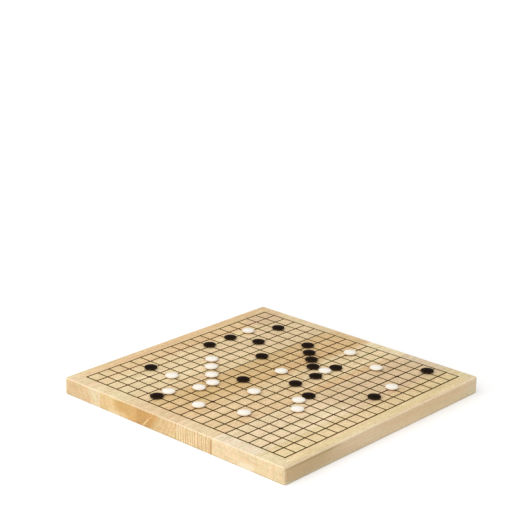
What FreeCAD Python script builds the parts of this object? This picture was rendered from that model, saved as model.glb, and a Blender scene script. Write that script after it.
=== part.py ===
"""A small wooden go board with a game in progress on it.

The board is a solid slab, edge-glued from six staves of beech that run from front to back. It is trimmed square
after gluing, and its edges are eased all round. The nineteen by nineteen lines and the nine star points are
engraved in its top. The stones are lens-shaped, as thick in the middle as a quarter of their width, and each stands
free on a crossing, so each is a piece of its own.

Lengths are in millimetres. The origin is the middle of the underside: X runs across the staves, Y along them and
Z up.
"""
import FreeCAD
import Part
import math
import os

# ---- the lines ----
LINES = 19
LINE_PITCH = 10.8
LINE_WIDTH = 1.2
LINE_DEPTH = 0.25
STAR_POINTS = (4, 10, 16)  # the marked lines, counted from the front left corner
STAR_DIAMETER = 3.2

# ---- the board ----
MARGIN = 10.75  # from the middle of an outer line to the edge of the board, with the lines in its middle
LINES_SET_BACK = 1.0  # the engraver's work sits this far behind the middle, so the front margin is the wider one
BOARD_THICKNESS = 12.7
CORNER_RADIUS = 2.0  # the four upright corners
TOP_EASING = 0.8
UNDERSIDE_EASING = 0.9
GLUE_LINES = (-71.7, -31.2, 7.1, 42.1, 81.5)  # where stave meets stave, from the middle of the board

# ---- the stones ----
STONE_SPACING = 0.8  # left between two stones that stand right on neighbouring crossings
STONE_THICKNESS = 2.6
STONE_RIM_RADIUS = 0.5
STONE_CLEARANCE = 0.05  # under the middle of a stone

# The crossing that each stone stands on, and how far right of it and behind it the hand left the stone. Columns go
# by letter from the left, without an I, and rows by number from the front.
COLUMN_LETTERS = "ABCDEFGHJKLMNOPQRST"
BLACK_STONES = {
    "D17": (1.4, 0.4),
    "H16": (0.0, -1.2),
    "J15": (0.0, -1.2),
    "K14": (-0.4, 0.1),
    "L13": (-1.1, 0.9),
    "M14": (1.6, 0.6),
    "M12": (1.4, -0.9),
    "E14": (0.0, -0.8),
    "C13": (-0.3, 1.2),
    "G12": (0.6, 0.3),
    "C11": (-0.8, 0.0),
    "M10": (0.0, -0.3),
    "O9": (0.0, 0.1),
    "J8": (0.1, 0.0),
    "C5": (0.2, 0.9),
    "G2": (-1.1, -0.9),
    "R18": (0.1, 1.0),
    "R12": (2.3, -0.5),
}
WHITE_STONES = {
    "C15": (0.0, 0.0),
    "L17": (0.9, -0.9),
    "O16": (1.9, 0.0),
    "M13": (0.0, 0.6),
    "R14": (0.5, 0.7),
    "K11": (-1.2, -1.1),
    "E9": (-0.4, 1.2),
    "F8": (-0.9, 0.9),
    "G7": (-0.5, 0.6),
    "H6": (-0.5, 1.2),
    "H5": (-1.2, -1.3),
    "E5": (1.5, 0.3),
    "G3": (-0.9, -0.3),
    "K3": (-1.3, -2.2),
    "L7": (-0.4, -0.3),
    "N4": (-1.5, -0.5),
    "O8": (0.2, -0.2),
    "P7": (-0.8, -2.0),
}

# ---- worked out from the above ----
GRID_SPAN = (LINES - 1) * LINE_PITCH
BOARD_SIDE = GRID_SPAN + 2 * MARGIN
STONE_DIAMETER = LINE_PITCH - STONE_SPACING


def line_place(number):
    """How far line number 1 to LINES lies from the middle one, along either axis."""
    return (number - 1) * LINE_PITCH - GRID_SPAN / 2


def crossing_at(column, row, height):
    """The point above or in the board where two lines cross, each line by its number."""
    return FreeCAD.Vector(line_place(column), line_place(row) + LINES_SET_BACK, height)


def box(low, high):
    """A block from its low corner to its high corner."""
    size = FreeCAD.Vector(*high) - FreeCAD.Vector(*low)
    return Part.makeBox(size.x, size.y, size.z, FreeCAD.Vector(*low))


def edges_at_height(shape, height):
    """The edges that lie level, all at one height."""
    return [edge for edge in shape.Edges if all(abs(v.Z - height) < 1e-6 for v in edge.Vertexes)]


# ---- the board ----
def eased_slab():
    """The slab after gluing and trimming, with its corners and both rims rounded off."""
    half = BOARD_SIDE / 2
    slab = box((-half, -half, 0), (half, half, BOARD_THICKNESS))
    upright = [edge for edge in slab.Edges if abs(edge.Vertexes[0].Z - edge.Vertexes[1].Z) > BOARD_THICKNESS / 2]
    slab = slab.makeFillet(CORNER_RADIUS, upright)
    slab = slab.makeFillet(TOP_EASING, edges_at_height(slab, BOARD_THICKNESS))
    return slab.makeFillet(UNDERSIDE_EASING, edges_at_height(slab, 0))


def engraving():
    """What the engraver takes off: a groove for each line, both ways, and a round pit at each star point."""
    floor = BOARD_THICKNESS - LINE_DEPTH
    reach = (GRID_SPAN + LINE_WIDTH) / 2
    cutter_top = BOARD_THICKNESS + LINE_DEPTH
    cuts = []
    for number in range(1, LINES + 1):
        low_side = line_place(number) - LINE_WIDTH / 2
        high_side = line_place(number) + LINE_WIDTH / 2
        cuts.append(box((low_side, LINES_SET_BACK - reach, floor), (high_side, LINES_SET_BACK + reach, cutter_top)))
        cuts.append(box((-reach, LINES_SET_BACK + low_side, floor), (reach, LINES_SET_BACK + high_side, cutter_top)))
    for column in STAR_POINTS:
        for row in STAR_POINTS:
            cuts.append(Part.makeCylinder(STAR_DIAMETER / 2, cutter_top - floor, crossing_at(column, row, floor)))
    return cuts[0].multiFuse(cuts[1:]).removeSplitter()


def staves():
    """The board sawn back along its glue lines, so that each stave is a piece, from left to right."""
    board = eased_slab().cut(engraving())
    half = BOARD_SIDE / 2
    inner = [place for place in GLUE_LINES if abs(place) < half]
    sides = [-half, *inner, half]
    for left, right in zip(sides, sides[1:]):
        yield board.common(box((left, -half, 0), (right, half, BOARD_THICKNESS)))


# ---- the stones ----
def stone():
    """A lens turned about Z: two shallow domes that run into a small round rim, with its lowest point at zero."""
    radius = STONE_DIAMETER / 2
    middle = STONE_THICKNESS / 2
    rim_centre = radius - STONE_RIM_RADIUS
    # The dome's radius is the one at which it meets the round of the rim with no crease.
    rise = middle - STONE_RIM_RADIUS
    dome = (rim_centre**2 + rise**2) / (2 * rise) + STONE_RIM_RADIUS
    lean = math.asin(rim_centre / (dome - STONE_RIM_RADIUS))

    def at(x, z):
        return FreeCAD.Vector(x, 0, z)

    def on_dome(angle, side):
        return at(dome * math.sin(angle), middle + side * (dome * math.cos(angle) - dome + middle))

    bottom = Part.Arc(at(0, 0), on_dome(lean / 2, -1), on_dome(lean, -1))
    rim = Part.Arc(on_dome(lean, -1), at(radius, middle), on_dome(lean, 1))
    top = Part.Arc(on_dome(lean, 1), on_dome(lean / 2, 1), at(0, STONE_THICKNESS))
    axis = Part.LineSegment(at(0, STONE_THICKNESS), at(0, 0))
    outline = Part.Wire([curve.toShape() for curve in (bottom, rim, top, axis)])
    return Part.Face(outline).revolve(FreeCAD.Vector(0, 0, 0), FreeCAD.Vector(0, 0, 1), 360)


def stone_on(crossing, off_crossing):
    """A stone standing on a crossing such as D17, as far off it as the hand left it."""
    column = COLUMN_LETTERS.index(crossing[0]) + 1
    row = int(crossing[1:])
    placed = stone()
    placed.translate(crossing_at(column, row, BOARD_THICKNESS + STONE_CLEARANCE))
    placed.translate(FreeCAD.Vector(*off_crossing, 0))
    return placed


# ---- the pieces, one file each ----
def pieces():
    """Each piece's name and solid."""
    for number, stave in enumerate(staves(), start=1):
        yield f"stave_{number}", stave
    for colour, stones in (("black", BLACK_STONES), ("white", WHITE_STONES)):
        for crossing, off_crossing in stones.items():
            yield f"{colour}_stone_{crossing.lower()}", stone_on(crossing, off_crossing)


os.makedirs("parts", exist_ok=True)
for name, shape in pieces():
    shape.exportStep(f"parts/{name}.step")
    print(f"{name}: {len(shape.Solids)} solid, {len(shape.Faces)} faces, {shape.Volume:.1f} mm3")
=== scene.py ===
# A 19-line go board with a game laid out on it: six pale wood staves glued side by side into one
# slab, a grid cut into its top and inked, and eighteen black and eighteen white plastic stones.
# The scene is in metres: the staves run along Y, and the slab's underside lies on the floor, Z = 0.
import math
from collections import namedtuple

import bmesh
import bpy
from mathutils import Euler, Matrix, Vector

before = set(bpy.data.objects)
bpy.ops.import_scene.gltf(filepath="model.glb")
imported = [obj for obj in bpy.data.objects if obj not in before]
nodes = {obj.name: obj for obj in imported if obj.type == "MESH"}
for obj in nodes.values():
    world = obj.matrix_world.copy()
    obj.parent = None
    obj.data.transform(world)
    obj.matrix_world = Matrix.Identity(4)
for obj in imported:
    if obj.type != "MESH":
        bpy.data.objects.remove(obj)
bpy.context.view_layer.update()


# ---------------------------------------------------------------------------------------------
# The slab. Each of its six staves is one length of pale beech, planed, sanded and wiped with a thin
# clear lacquer after glue-up. The growth rings run round the tree's heart, which lies in another
# place for every stave, so each end shows other rings and the tops differ in tone.
# ---------------------------------------------------------------------------------------------
MM = 1000.0             # millimetres in a metre: every finish below is laid out in millimetres
SLAB_HALF = 107.95      # half of the slab's side
SLAB_TOP = 12.7         # height of the playing face
EDGE_ROUND = 0.9        # how far the rounded edges reach into the faces
FACE_FLAT = 0.2         # from here out, an edge has turned into the next face
WOOD_GLOSS = 0.10       # the thin lacquer's specular level
WOOD_RELIEF = 0.00012   # depth of the pores and fibres, in metres


def srgb(red, green, blue):
    """A paint-chart colour, 0 to 255, as the linear colour that a shader takes."""
    return tuple((c / 255 / 12.92) if c < 10.4 else ((c / 255 + 0.055) / 1.055) ** 2.4
                 for c in (red, green, blue)) + (1.0,)


def join(tree, node, **values):
    """Fills a node's sockets, by name or by number (i0, i1). One that gets a socket is linked."""
    for key, value in values.items():
        place = int(key[1:]) if key[0] == "i" and key[1:].isdigit() else key.replace("_", " ")
        socket = node.inputs[place]
        if isinstance(value, bpy.types.NodeSocket):
            tree.links.new(value, socket)
        else:
            socket.default_value = value


def add(tree, kind, settings=None, **values):
    """A new shader node with its settings and its sockets' values."""
    node = tree.nodes.new("ShaderNode" + kind)
    for key, value in (settings or {}).items():
        setattr(node, key, value)
    join(tree, node, **values)
    return node


def new_group(name, inputs, outputs):
    """An empty shader node group with its named sockets, and its two end nodes."""
    group = bpy.data.node_groups.new(name, "ShaderNodeTree")
    for label, kind, value in inputs:
        socket = group.interface.new_socket(label, in_out="INPUT", socket_type="NodeSocket" + kind)
        if value is not None:
            socket.default_value = value
    for label, kind in outputs:
        group.interface.new_socket(label, in_out="OUTPUT", socket_type="NodeSocket" + kind)
    return group, group.nodes.new("NodeGroupInput"), group.nodes.new("NodeGroupOutput")


def maths(tree, operation, *values, clamp=False):
    """One Math node's result."""
    node = add(tree, "Math", {"operation": operation, "use_clamp": clamp},
               **{f"i{n}": value for n, value in enumerate(values)})
    return node.outputs[0]


def vector_maths(tree, operation, *values):
    """One Vector Math node's result: a number for a length, and a vector for all else."""
    node = add(tree, "VectorMath", {"operation": operation},
               **{f"i{n}": value for n, value in enumerate(values)})
    return node.outputs["Value" if operation == "LENGTH" else "Vector"]


def total(tree, start, *parts):
    """A start value with so much of each part added, from pairs of a value and its share."""
    for value, share in parts:
        start = maths(tree, "ADD", start, maths(tree, "MULTIPLY", value, share))
    return start


def product(tree, first, *others):
    """All the values multiplied together."""
    for other in others:
        first = maths(tree, "MULTIPLY", first, other)
    return first


def between(tree, value, low, high):
    """0 up to low, 1 from high on, and a soft step from one to the other."""
    node = add(tree, "MapRange", {"interpolation_type": "SMOOTHSTEP"},
               Value=value, From_Min=low, From_Max=high)
    return node.outputs["Result"]


def blend(tree, amount, first, second, how="MIX"):
    """Two colours mixed by an amount. The Mix node takes colours in its sockets 6 and 7."""
    node = add(tree, "Mix", {"data_type": "RGBA", "blend_type": how},
               i0=amount, i6=first, i7=second)
    return node.outputs[2]


def cloud(tree, position, scale, detail=2.0, roughness=0.5, output="Fac"):
    """Soft noise, finer or coarser along each axis by the three scales, in cells per millimetre."""
    stretched = add(tree, "Mapping", {"vector_type": "POINT"}, Vector=position, Scale=scale)
    node = add(tree, "TexNoise", Vector=stretched.outputs[0], Scale=1.0, Detail=detail,
               Roughness=roughness)
    return node.outputs[output]


def new_material(name):
    """A new material, its node tree, its surface shader, and the place on it in millimetres."""
    material = bpy.data.materials.new(name)
    material.use_nodes = True
    tree = material.node_tree
    place = add(tree, "TexCoord").outputs["Object"]
    in_mm = add(tree, "Mapping", Vector=place, Scale=(MM, MM, MM)).outputs[0]
    return material, tree, tree.nodes["Principled BSDF"], in_mm


def dress(name, material):
    """Gives a CAD piece its material, in every slot."""
    for slot in nodes[name].material_slots:
        slot.material = material


def wood_grain_group():
    """Growth rings, heartwood, fibres, pores and cut ends of one stave."""
    g, given, out = new_group("Wood grain", (
        ("Position", "Vector", None), ("Heart", "Vector", (0, 0, 0)), ("Lean", "Vector", (0, 0, 0)),
        ("Ring Pitch", "Float", 3.0), ("Ring Strength", "Float", 0.3),
        ("Heart Radius", "Float", 0.0), ("Heart Start", "Float", -400.0),
        ("Left Edge", "Float", 0.0), ("Right Edge", "Float", 10.0),
        ("Early Wood", "Color", (1, 1, 1, 1)), ("Late Wood", "Color", (1, 1, 1, 1)),
        ("Heart Wood", "Color", (1, 1, 1, 1)), ("End Wood", "Color", (1, 1, 1, 1)),
        ("End Heart", "Color", (1, 1, 1, 1)), ("Patch Wood", "Color", (1, 1, 1, 1)),
        ("Patch Middle", "Vector", (0, 0, -900)), ("Patch Reach", "Vector", (9, 9, 9)),
        ("Far Tint", "Vector", (1, 1, 1)), ("Margin Tint", "Vector", (1, 1, 1)),
        ("Side Tint", "Vector", (1, 1, 1)),
    ), (("Color", "Color"), ("Roughness", "Float"), ("Height", "Float")))
    i = given.outputs
    position = i["Position"]
    x, y, z = add(g, "SeparateXYZ", Vector=position).outputs
    from_middle_x = maths(g, "ABSOLUTE", x)
    from_middle_y = maths(g, "ABSOLUTE", y)

    # the heart leans along the stave, the rings wander, and their pitch varies from year to year
    wander = cloud(g, position, (0.03, 0.006, 0.03), output="Color")
    shift = vector_maths(g, "MULTIPLY_ADD", wander, (9.0, 0.0, 9.0), (-4.5, 0.0, -4.5))
    bent = vector_maths(g, "ADD", position, shift)
    lean = add(g, "VectorMath", {"operation": "SCALE"}, i0=i["Lean"], Scale=y).outputs["Vector"]
    from_heart = vector_maths(g, "SUBTRACT", bent, vector_maths(g, "ADD", i["Heart"], lean))
    radius = vector_maths(g, "LENGTH", vector_maths(g, "MULTIPLY", from_heart, (1, 0, 1)))
    years = maths(g, "DIVIDE", radius, i["Ring Pitch"])
    uneven = add(g, "TexNoise", {"noise_dimensions": "1D"}, W=maths(g, "MULTIPLY", years, 0.6),
                 Scale=1.0, Detail=1.0)
    years = total(g, years, (uneven.outputs["Fac"], 1.1))
    year = maths(g, "FRACT", years)
    late = maths(g, "SUBTRACT", between(g, year, 0.35, 0.86), between(g, year, 0.90, 1.0))

    # the cut ends and the long sides, each of which fades out round its edges
    end = between(g, from_middle_y, SLAB_HALF - EDGE_ROUND, SLAB_HALF - FACE_FLAT)
    side = between(g, from_middle_x, SLAB_HALF - EDGE_ROUND, SLAB_HALF - FACE_FLAT)

    # fibres run the length of the stave, with beech's short dark flecks, and end as fine specks
    fibre = cloud(g, position, (1.1, 0.035, 1.1), 3.0, 0.6)
    fine = cloud(g, position, (4.0, 0.12, 4.0), 3.0, 0.6)
    broad = cloud(g, position, (0.11, 0.012, 0.11), 3.0, 0.55)
    fleck = between(g, cloud(g, position, (2.4, 0.45, 2.4), 1.0), 0.58, 0.70)
    mottle = cloud(g, position, (0.75, 0.30, 0.75), 3.0, 0.7)
    hue = between(g, cloud(g, position, (0.20, 0.008, 0.20)), 0.38, 0.62)
    sawn = cloud(g, position, (0.07, 0.07, 1.1))
    broad_swing, fibre_swing, fine_swing, mottle_swing, sawn_swing = (
        maths(g, "SUBTRACT", noise, 0.5) for noise in (broad, fibre, fine, mottle, sawn))

    # heartwood inside its radius, and one darker patch with soft, uneven edges
    heart = between(g, radius, maths(g, "ADD", i["Heart Radius"], 3.5),
                    maths(g, "SUBTRACT", i["Heart Radius"], 3.5))
    heart = maths(g, "MULTIPLY", heart, total(g, 0.70, (broad, 0.6)), clamp=True)
    risen = between(g, y, i["Heart Start"], maths(g, "ADD", i["Heart Start"], 60.0))
    from_patch = vector_maths(g, "SUBTRACT", position, i["Patch Middle"])
    spread = vector_maths(g, "LENGTH", vector_maths(g, "DIVIDE", from_patch, i["Patch Reach"]))
    patch = between(g, total(g, spread, (broad_swing, 0.8)), 1.15, 0.45)

    # the tone drifts along the stave, and the margins next to the cut ends are paler
    far = between(g, total(g, y, (broad_swing, 90.0)), -20.0, 45.0)
    by_end = between(g, from_middle_y, SLAB_HALF - 15.0, SLAB_HALF - 8.0)
    long_grain = blend(g, maths(g, "MULTIPLY", heart, risen), i["Early Wood"], i["Heart Wood"])
    long_grain = blend(g, far, long_grain, i["Far Tint"], "MULTIPLY")
    long_grain = blend(g, by_end, long_grain, i["Margin Tint"], "MULTIPLY")
    end_grain = blend(g, heart, i["End Wood"], i["End Heart"])
    colour = blend(g, end, long_grain, end_grain)
    colour = blend(g, patch, colour, i["Patch Wood"])
    ring = product(g, late, i["Ring Strength"], total(g, 0.40, (end, 0.60)))
    colour = blend(g, ring, colour, i["Late Wood"])

    # the fibres' own light and dark is weaker on the sides and ends than on the top
    tone = total(g, 0.0, (broad_swing, 0.26), (fibre_swing, 0.46), (fine_swing, 0.26),
                 (mottle_swing, 0.50), (sawn_swing, maths(g, "MULTIPLY", end, 0.28)),
                 (fleck, -0.13))
    flank = maths(g, "MAXIMUM", maths(g, "MULTIPLY", side, 0.70), maths(g, "MULTIPLY", end, 0.40))
    tone = maths(g, "MULTIPLY", tone, maths(g, "SUBTRACT", 1.50, flank))
    # darker wood is redder, and paler wood is whiter
    gain = vector_maths(g, "MULTIPLY_ADD", tone, (0.80, 1.0, 1.30), (1.0, 1.0, 1.0))
    bright = vector_maths(g, "MULTIPLY", colour, gain)
    tint = blend(g, hue, (1.03, 0.985, 0.985, 1), (0.985, 1.008, 0.98, 1))
    colour = blend(g, 1.0, bright, tint, "MULTIPLY")

    # the long sides are paler towards the back, and low down they carry painted light thrown up
    # from the white sheet
    side_behind = maths(g, "MULTIPLY", side, between(g, y, -45.0, 35.0))
    colour = blend(g, side_behind, colour, i["Side Tint"], "MULTIPLY")
    # painted light from the white sheet, paler and cooler towards the foot of each long side
    low = maths(g, "MULTIPLY", side, between(g, z, 7.0, 1.0))
    colour = blend(g, low, colour, (1.01, 1.07, 1.12, 1), "MULTIPLY")

    # the rounded edges are paler, partly rubbed and partly a painted highlight, most of all up the
    # corners on the ends' side, and along the lower rim lies a painted shade
    to_side = maths(g, "SUBTRACT", SLAB_HALF, from_middle_x)
    to_end = maths(g, "SUBTRACT", SLAB_HALF, from_middle_y)
    to_top = maths(g, "SUBTRACT", SLAB_TOP, z)
    to_nearer = maths(g, "MINIMUM", to_side, to_end)
    rim = between(g, maths(g, "ADD", to_nearer, to_top), 1.1, 0.5)
    # a painted highlight up each upright corner, on the part of the rounding that turns towards the
    # end
    corner_highlight = maths(g, "MULTIPLY", between(g, maths(g, "ADD", to_side, to_end), 2.0, 1.3),
                   between(g, to_end, 0.6, 0.3))
    rubbed_and_highlight = maths(g, "MULTIPLY", maths(g, "MAXIMUM", rim, corner_highlight), total(g, 0.15, (mottle, 0.5)))
    colour = blend(g, rubbed_and_highlight, colour, srgb(248, 233, 206))
    # painted shade along the bottom edge, where the rounding turns down away from the light
    painted_bottom_shade = product(g, between(g, z, 1.5, 0.1), total(g, 0.05, (fibre, 0.40)),
                   between(g, to_nearer, 9.0, 1.0))
    colour = blend(g, painted_bottom_shade, colour, srgb(150, 136, 112))

    # the glue line where two staves meet
    to_left = maths(g, "ABSOLUTE", maths(g, "SUBTRACT", x, i["Left Edge"]))
    to_right = maths(g, "ABSOLUTE", maths(g, "SUBTRACT", x, i["Right Edge"]))
    glue = maths(g, "MULTIPLY", between(g, maths(g, "MINIMUM", to_left, to_right), 0.26, 0.08),
                 between(g, from_middle_x, SLAB_HALF - 2.0, SLAB_HALF - 4.0))
    colour = blend(g, maths(g, "MULTIPLY", glue, 0.20), colour, srgb(150, 112, 72))

    join(g, out, Color=colour,
         Roughness=total(g, 0.36, (fine, 0.16), (end, 0.12), (fleck, 0.15)),
         Height=total(g, 0.0, (fine, 0.5), (fleck, -0.8), (ring, -0.6), (glue, -1.0)))
    return g


# Each stave's values for the sockets of the wood grain: its long edges, where its tree's heart lay
# and how that leans along the stave, its rings, its heartwood, its colours and its own tints.
STAVES = {
    "stave_1": dict(
        Left_Edge=-107.95, Right_Edge=-71.7, Heart=(-150.0, 0.0, -30.0),
        Ring_Pitch=5.0, Ring_Strength=0.22, Heart_Radius=79.0, Heart_Start=-110.0,
        Early_Wood=srgb(231, 206, 162), Late_Wood=srgb(206, 172, 124),
        Heart_Wood=srgb(225, 194, 147), End_Wood=srgb(226, 208, 170),
        End_Heart=srgb(218, 189, 146), Patch_Wood=srgb(216, 185, 147),
        Patch_Middle=(-87.0, 86.0, 12.0), Patch_Reach=(16.0, 24.0, 12.0),
        Far_Tint=(1.0, 0.99, 0.97), Margin_Tint=(0.98, 1.0, 1.05), Side_Tint=(1.06, 1.06, 1.08)),
    "stave_2": dict(
        Left_Edge=-71.7, Right_Edge=-31.2, Heart=(-8.0, 0.0, 22.0), Lean=(0.02, 0.0, 0.03),
        Ring_Pitch=4.2, Ring_Strength=0.25, Heart_Radius=37.0,
        Early_Wood=srgb(230, 207, 165), Late_Wood=srgb(208, 172, 122),
        Heart_Wood=srgb(229, 205, 162), End_Wood=srgb(224, 195, 144),
        End_Heart=srgb(212, 170, 110), Patch_Wood=srgb(208, 169, 108),
        Patch_Middle=(-46.0, -110.0, 8.0), Patch_Reach=(13.0, 4.5, 7.0),
        Far_Tint=(0.97, 0.95, 0.95), Margin_Tint=(0.98, 1.0, 1.0)),
    "stave_3": dict(
        Left_Edge=-31.2, Right_Edge=7.1, Heart=(-40.7, 0.0, 31.4), Lean=(0.08, 0.0, 0.0),
        Ring_Pitch=3.8, Ring_Strength=0.30, Heart_Radius=45.0, Heart_Start=-112.0,
        Early_Wood=srgb(224, 193, 146), Late_Wood=srgb(200, 156, 102),
        Heart_Wood=srgb(213, 180, 127), End_Wood=srgb(221, 193, 146),
        End_Heart=srgb(203, 159, 99),
        Far_Tint=(1.03, 1.04, 1.08), Margin_Tint=(1.0, 1.04, 1.14)),
    "stave_4": dict(
        Left_Edge=7.1, Right_Edge=42.1, Heart=(190.0, 0.0, 6.0), Lean=(0.04, 0.0, 0.0),
        Ring_Pitch=2.2, Ring_Strength=0.85, Heart_Radius=0.0,
        Early_Wood=srgb(230, 204, 160), Late_Wood=srgb(196, 158, 106),
        Heart_Wood=srgb(224, 190, 138), End_Wood=srgb(232, 209, 165),
        End_Heart=srgb(224, 190, 138), Patch_Wood=srgb(216, 184, 136),
        Patch_Middle=(42.0, 30.0, 12.7), Patch_Reach=(11.0, 75.0, 20.0),
        Far_Tint=(1.05, 1.10, 1.15), Margin_Tint=(1.0, 1.06, 1.12)),
    "stave_5": dict(
        Left_Edge=42.1, Right_Edge=81.5, Heart=(62.0, 0.0, -60.0), Lean=(0.0, 0.0, 0.25),
        Ring_Pitch=5.5, Ring_Strength=0.18, Heart_Radius=75.0,
        Early_Wood=srgb(232, 209, 171), Late_Wood=srgb(212, 180, 134),
        Heart_Wood=srgb(217, 190, 150), End_Wood=srgb(231, 208, 168),
        End_Heart=srgb(231, 208, 168),
        Far_Tint=(0.98, 0.99, 1.0), Margin_Tint=(1.0, 1.06, 1.18)),
    "stave_6": dict(
        Left_Edge=81.5, Right_Edge=107.95, Heart=(200.0, 0.0, 6.0), Lean=(0.0, 0.0, 0.05),
        Ring_Pitch=5.0, Ring_Strength=0.20, Heart_Radius=93.0,
        Early_Wood=srgb(227, 204, 158), Late_Wood=srgb(210, 182, 132),
        Heart_Wood=srgb(231, 206, 170), End_Wood=srgb(230, 207, 166),
        End_Heart=srgb(230, 207, 166), Patch_Wood=srgb(205, 179, 138),
        Patch_Middle=(109.0, -100.0, 7.5), Patch_Reach=(4.0, 60.0, 11.0),
        Far_Tint=(0.95, 0.94, 0.90), Margin_Tint=(0.98, 1.04, 1.12), Side_Tint=(1.08, 1.08, 1.09)),
}

# Single marks in the wood. One on X is on the front end and one on Y is on the right-hand side:
# where its middle is along that axis and in height, how far it leans for each millimetre that it
# rises, half its height and width, and its colour.
Mark = namedtuple("Mark", "axis middle height lean half_height half_width colour")
MARKS = {
    "stave_2": (Mark("X", -71.2, 6.3, 0.0, 7.5, 1.2, srgb(236, 210, 176)),      # sapwood edge
                Mark("X", -55.0, 1.3, 0.0, 1.5, 6.0, srgb(230, 204, 160))),     # pale foot
    "stave_3": (Mark("X", -22.4, 4.0, 0.85, 2.9, 0.7, srgb(234, 204, 148)),     # pale ray
                Mark("X", -18.0, 8.2, 1.20, 1.5, 0.5, srgb(224, 184, 128)),     # fainter ray
                Mark("X", -30.5, 1.2, 0.0, 1.2, 2.4, srgb(190, 150, 100))),     # dark foot
    "stave_4": (Mark("X", 9.8, 9.0, 1.1, 2.4, 1.8, srgb(229, 203, 160)),        # pale ray
                Mark("X", 41.3, 5.0, 0.0, 6.0, 0.75, srgb(192, 152, 100))),     # dark last ring
    "stave_5": (Mark("X", 73.0, 1.8, 0.0, 2.2, 6.5, srgb(237, 221, 190)),),     # pale foot
    "stave_6": (Mark("Y", -79.0, 11.1, 0.0, 0.6, 22.0, srgb(184, 153, 108)),),  # dark streak
}


def with_mark(tree, in_mm, wood_colour, mark):
    """The wood's colour with one mark over it, which wavers in width and fades at its ends."""
    x, y, z = add(tree, "SeparateXYZ", Vector=in_mm).outputs
    on_front = mark.axis == "X"
    rise = maths(tree, "SUBTRACT", z, mark.height)
    aside = maths(tree, "SUBTRACT", maths(tree, "SUBTRACT", x if on_front else y, mark.middle),
                  maths(tree, "MULTIPLY", rise, mark.lean))
    width = maths(tree, "MULTIPLY_ADD", cloud(tree, in_mm, (0.5, 0.5, 0.5)), mark.half_width,
                  mark.half_width / 2)
    across = between(tree, maths(tree, "DIVIDE", maths(tree, "ABSOLUTE", aside), width), 1.5, 0.6)
    up = between(tree, maths(tree, "ABSOLUTE", rise), mark.half_height + 0.6,
                 mark.half_height - 0.6)
    face = (between(tree, y, 2.5 - SLAB_HALF, 1.5 - SLAB_HALF) if on_front else
            between(tree, x, SLAB_HALF - 1.5, SLAB_HALF - 0.5))
    return blend(tree, product(tree, across, up, face, 0.85), wood_colour, mark.colour)


wood_grain = wood_grain_group()
sanded = {}
for stave, sockets in STAVES.items():
    material, tree, shader, in_mm = new_material(stave.replace("_", " ") + " wood")
    grain = add(tree, "Group", {"node_tree": wood_grain}, Position=in_mm, **sockets)
    wood_colour = grain.outputs["Color"]
    for mark in MARKS.get(stave, ()):
        wood_colour = with_mark(tree, in_mm, wood_colour, mark)
    relief = add(tree, "Bump", Height=grain.outputs["Height"], Strength=0.35, Distance=WOOD_RELIEF)
    join(tree, shader, Normal=relief.outputs["Normal"], Specular_IOR_Level=WOOD_GLOSS)
    dress(stave, material)
    sanded[stave] = tree, shader, in_mm, wood_colour, grain.outputs["Roughness"]


# ---------------------------------------------------------------------------------------------
# The grid. Nineteen lines each way and nine star points are cut a quarter of a millimetre into
# the sanded top, and a dark brown ink is wiped into the cuts before the clear coat goes on.
# ---------------------------------------------------------------------------------------------
LINE_PITCH = 10.8       # from one line to the next
LINES_MIDDLE = 1.0      # the grid's middle lies this far behind the slab's
GRID_HALF = 97.2        # from the grid's middle to its outermost lines
INK_ROUGHNESS = 0.80


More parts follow.
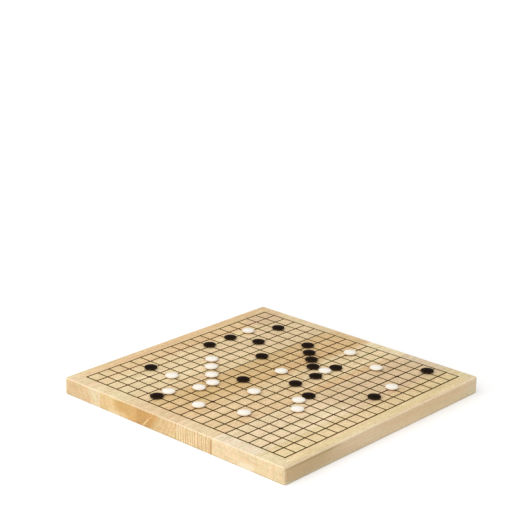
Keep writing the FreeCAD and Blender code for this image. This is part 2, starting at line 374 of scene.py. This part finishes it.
def line_ink_group():
    """Ink in the cut lines: it fills whatever lies below the playing face and inside the grid,
    and it has crept a little way into the wood, farther along the fibres than across them."""
    g, given, out = new_group("Line ink", (
        ("Position", "Vector", None), ("Wood", "Color", (1, 1, 1, 1)),
        ("Wood Roughness", "Float", 0.4),
    ), (("Color", "Color"), ("Roughness", "Float")))
    i = given.outputs
    x, y, z = add(g, "SeparateXYZ", Vector=i["Position"]).outputs
    from_middle_x = maths(g, "ABSOLUTE", x)

    # the ink lies on all that is sunk under the playing face, well inside the slab's rounded edges
    sunk = between(g, z, SLAB_TOP - 0.02, SLAB_TOP - 0.07)
    near_top = between(g, z, SLAB_TOP - 0.5, SLAB_TOP - 0.4)
    farther = maths(g, "MAXIMUM", from_middle_x, maths(g, "ABSOLUTE", y))
    inside = between(g, farther, SLAB_HALF - 6.0, SLAB_HALF - 6.5)
    worn = between(g, cloud(g, i["Position"], (0.9, 0.9, 0.9), 3.0, 0.6), 0.62, 0.80)
    ink = product(g, sunk, near_top, inside, total(g, 1.0, (worn, -0.10)))
    shade = cloud(g, i["Position"], (0.35, 0.35, 0.35))
    ink_colour = blend(g, shade, srgb(40, 20, 4), srgb(56, 30, 6))

    def to_line(coordinate, middle):
        """How far a place is from the nearest line."""
        lines = maths(g, "DIVIDE", maths(g, "SUBTRACT", coordinate, middle), LINE_PITCH)
        off = maths(g, "ABSOLUTE", maths(g, "SUBTRACT", lines, maths(g, "ROUND", lines)))
        return maths(g, "MULTIPLY", off, LINE_PITCH)

    # a faint stain beside every line, which reaches unevenly far along the fibres, and a stronger
    # one right on the brim of the cut
    creep = cloud(g, i["Position"], (1.6, 0.15, 1.6), 2.0, 0.6)
    reach = total(g, 0.55, (creep, 1.5))
    off_x = to_line(x, 0.0)
    off_y = to_line(y, LINES_MIDDLE)
    beside = between(g, off_x, 1.05, 0.60)
    before = between(g, maths(g, "DIVIDE", off_y, reach), 1.0, 0.45)
    brim = between(g, maths(g, "MINIMUM", off_x, off_y), 0.80, 0.60)
    set_back = maths(g, "ABSOLUTE", maths(g, "SUBTRACT", y, LINES_MIDDLE))
    farthest = maths(g, "MAXIMUM", from_middle_x, set_back)
    on_grid = maths(g, "MULTIPLY", between(g, farthest, GRID_HALF + 1.0, GRID_HALF + 0.7), near_top)
    stain = maths(g, "MULTIPLY", maths(g, "MAXIMUM", beside, before), on_grid)
    wood = blend(g, stain, i["Wood"], (1.0, 0.97, 0.84, 1), "MULTIPLY")
    wood = blend(g, maths(g, "MULTIPLY", brim, on_grid), wood, (0.97, 0.90, 0.66, 1), "MULTIPLY")

    join(g, out, Color=blend(g, ink, wood, ink_colour),
         Roughness=total(g, 0.0, (i["Wood Roughness"], maths(g, "SUBTRACT", 1.0, ink)),
                         (ink, INK_ROUGHNESS)))
    return g


line_ink = line_ink_group()
for tree, shader, in_mm, wood_colour, wood_roughness in sanded.values():
    inked = add(tree, "Group", {"node_tree": line_ink}, Position=in_mm, Wood=wood_colour,
                Wood_Roughness=wood_roughness)
    join(tree, shader, Base_Color=inked.outputs["Color"], Roughness=inked.outputs["Roughness"])


# ---------------------------------------------------------------------------------------------
# The stones. Both colours are moulded in hard plastic as a thin lens with a small rounded rim.
# They stand loose on the crossings: eighteen black, eighteen white, a little off their points.
# ---------------------------------------------------------------------------------------------
STONE_MIDDLE = SLAB_TOP + 1.35      # height of the mould's parting line, half-way up a stone
PLASTIC_RELIEF = 0.0001             # depth of the haze and scuffs, in metres


def moulded_plastic_group():
    """Moulded plastic: a faint cloudiness, fine scuffs from handling, the mould's parting line, and
    a rim of another colour: paler on a black stone, as wear and a painted sheen, and on a white one
    a painted shade with the wood's colour reflected in it."""
    g, given, out = new_group("Moulded plastic", (
        ("Position", "Vector", None), ("Plastic", "Color", (1, 1, 1, 1)),
        ("Worn", "Color", (1, 1, 1, 1)), ("Rim", "Color", (1, 1, 1, 1)), ("Polish", "Float", 0.3),
    ), (("Color", "Color"), ("Roughness", "Float"), ("Height", "Float")))
    i = given.outputs
    haze = cloud(g, i["Position"], (0.25, 0.25, 0.25), 3.0, 0.6)
    scuff = between(g, cloud(g, i["Position"], (2.2, 0.5, 1.2), 4.0, 0.7), 0.55, 0.75)
    speck = between(g, cloud(g, i["Position"], (3.4, 3.4, 3.4)), 0.68, 0.78)
    z = add(g, "SeparateXYZ", Vector=i["Position"]).outputs["Z"]
    seam = between(g, maths(g, "ABSOLUTE", maths(g, "SUBTRACT", z, STONE_MIDDLE)), 0.10, 0.03)
    wear = total(g, 0.0, (haze, 0.30), (scuff, 0.25), (maths(g, "MAXIMUM", speck, seam), 0.35))
    # the rim ring: wear and a painted sheen on black, painted shade with reflected wood colour on
    # white
    rim = between(g, z, SLAB_TOP + 2.2, SLAB_TOP + 1.8)
    rim = maths(g, "MULTIPLY", rim, total(g, 0.6, (haze, 0.6)), clamp=True)
    plastic = blend(g, rim, i["Plastic"], i["Rim"])
    join(g, out, Color=blend(g, wear, plastic, i["Worn"]),
         Roughness=total(g, i["Polish"], (scuff, 0.18), (haze, 0.06)),
         Height=total(g, 0.0, (haze, 0.4), (seam, 0.8), (scuff, -0.15)))
    return g


moulded_plastic = moulded_plastic_group()
# Rim is wear and a painted sheen on the black stones, and a painted shade with the wood's reflected
# colour on the white ones
PLASTICS = {
    "black": dict(Plastic=srgb(19, 10, 4), Worn=srgb(38, 25, 15), Rim=srgb(42, 29, 19),
                  Polish=0.50),
    "white": dict(Plastic=srgb(245, 239, 228), Worn=srgb(234, 227, 215), Rim=srgb(230, 217, 196),
                  Polish=0.30),
}
PLASTIC_GLOSS = {"black": 0.015, "white": 0.22}
for shade, sockets in PLASTICS.items():
    material, tree, shader, in_mm = new_material(shade + " plastic")
    moulded = add(tree, "Group", {"node_tree": moulded_plastic}, Position=in_mm, **sockets)
    relief = add(tree, "Bump", Height=moulded.outputs["Height"], Strength=0.25,
                 Distance=PLASTIC_RELIEF)
    join(tree, shader, Base_Color=moulded.outputs["Color"], Roughness=moulded.outputs["Roughness"],
         Normal=relief.outputs["Normal"], Specular_IOR_Level=PLASTIC_GLOSS[shade])
    for name in nodes:
        if name.startswith(shade + "_stone_"):
            dress(name, material)


# ---------------------------------------------------------------------------------------------
# The table-top that the board is shown on: a broad white sheet that is lifted to white where the
# lamp falls off and keeps the board's shadow, a white room, one wide soft lamp in front of the
# board and above it, and the camera. None of it is the object.
# ---------------------------------------------------------------------------------------------
SHEET_HALF = 12.0                   # half of the sheet's side
SHEET_WHITE = 0.78                  # how much light the sheet gives back
SHEET_LIFT = 0.28                   # what is added to it beside the board
SHEET_LIFT_FAR = 0.34               # and what more is added away from the board
SHEET_FADE = (0.12, 0.70)           # it comes in between these distances from the board's middle
ROOM_LIGHT = 0.58                   # the light that comes from all round
LAMP_TOWARDS = (0.02, -0.68, 0.72)  # from the board to the lamp
LAMP_DISTANCE = 1.1
LAMP_SIDE = 1.6
LAMP_LEVEL = 1.02                   # how much of a colour shows where the lamp meets it squarely
CAMERA_PLACE = (0.69761, -0.78973, 0.45132)
CAMERA_LENS = 105.91                # in millimetres, on a sensor 36 wide
CAMERA_FACES = 131.9748             # the way the camera faces, in degrees from X towards Y
CAMERA_DIPS = 18.3419               # how far below the level it looks, in degrees
CAMERA_ROLL = 1.0848                # and how far it is turned about its own line of sight


def seen_directly(tree):
    """1 for what the camera sees, straight or in a shiny or clear surface, and 0 for the rest."""
    path = add(tree, "LightPath").outputs
    seen = maths(tree, "MAXIMUM", path["Is Camera Ray"], path["Is Glossy Ray"])
    return maths(tree, "MAXIMUM", seen, path["Is Transmission Ray"])


floor_mesh = bpy.data.meshes.new("white sheet")
sheet = bmesh.new()
bmesh.ops.create_grid(sheet, x_segments=1, y_segments=1, size=SHEET_HALF)
sheet.to_mesh(floor_mesh)
sheet.free()
floor = bpy.data.objects.new("white_sheet", floor_mesh)
bpy.context.scene.collection.objects.link(floor)

paper = bpy.data.materials.new("white sheet")
paper.use_nodes = True
tree = paper.node_tree
tree.nodes.clear()
matt = add(tree, "BsdfDiffuse", Color=(SHEET_WHITE, SHEET_WHITE, SHEET_WHITE, 1))
from_board = vector_maths(tree, "LENGTH", add(tree, "TexCoord").outputs["Object"])
lift = total(tree, SHEET_LIFT, (between(tree, from_board, *SHEET_FADE), SHEET_LIFT_FAR))
glow = add(tree, "Emission", Color=(1, 1, 1, 1),
           Strength=maths(tree, "MULTIPLY", seen_directly(tree), lift))
both = add(tree, "AddShader", i0=matt.outputs[0], i1=glow.outputs[0])
add(tree, "OutputMaterial", Surface=both.outputs[0])
floor_mesh.materials.append(paper)

room = bpy.data.worlds.new("white room")
bpy.context.scene.world = room
room.use_nodes = True
tree = room.node_tree
join(tree, tree.nodes["Background"], Color=(1, 1, 1, 1),
     Strength=total(tree, ROOM_LIGHT, (seen_directly(tree), 1.0 - ROOM_LIGHT)))

window_lamp = bpy.data.lights.new("window_lamp", "AREA")
window_lamp.size = LAMP_SIDE
window_lamp.energy = LAMP_LEVEL * math.pi ** 2 * LAMP_DISTANCE ** 2
lamp_stand = bpy.data.objects.new("window_lamp", window_lamp)
aim = Vector(LAMP_TOWARDS).normalized()
lamp_stand.location = aim * LAMP_DISTANCE
lamp_stand.rotation_euler = aim.to_track_quat("Z", "Y").to_euler()
bpy.context.scene.collection.objects.link(lamp_stand)

camera_data = bpy.data.cameras.new("camera")
camera_data.lens = CAMERA_LENS
camera_data.sensor_width = 36.0
camera = bpy.data.objects.new("camera", camera_data)
camera.location = CAMERA_PLACE
aimed = Euler((math.radians(90 - CAMERA_DIPS), 0, math.radians(CAMERA_FACES - 90)))
rolled = Matrix.Rotation(math.radians(CAMERA_ROLL), 3, "Z")
camera.rotation_euler = (aimed.to_matrix() @ rolled).to_euler()
bpy.context.scene.collection.objects.link(camera)
bpy.context.scene.camera = camera
bpy.context.scene.view_settings.view_transform = "Standard"
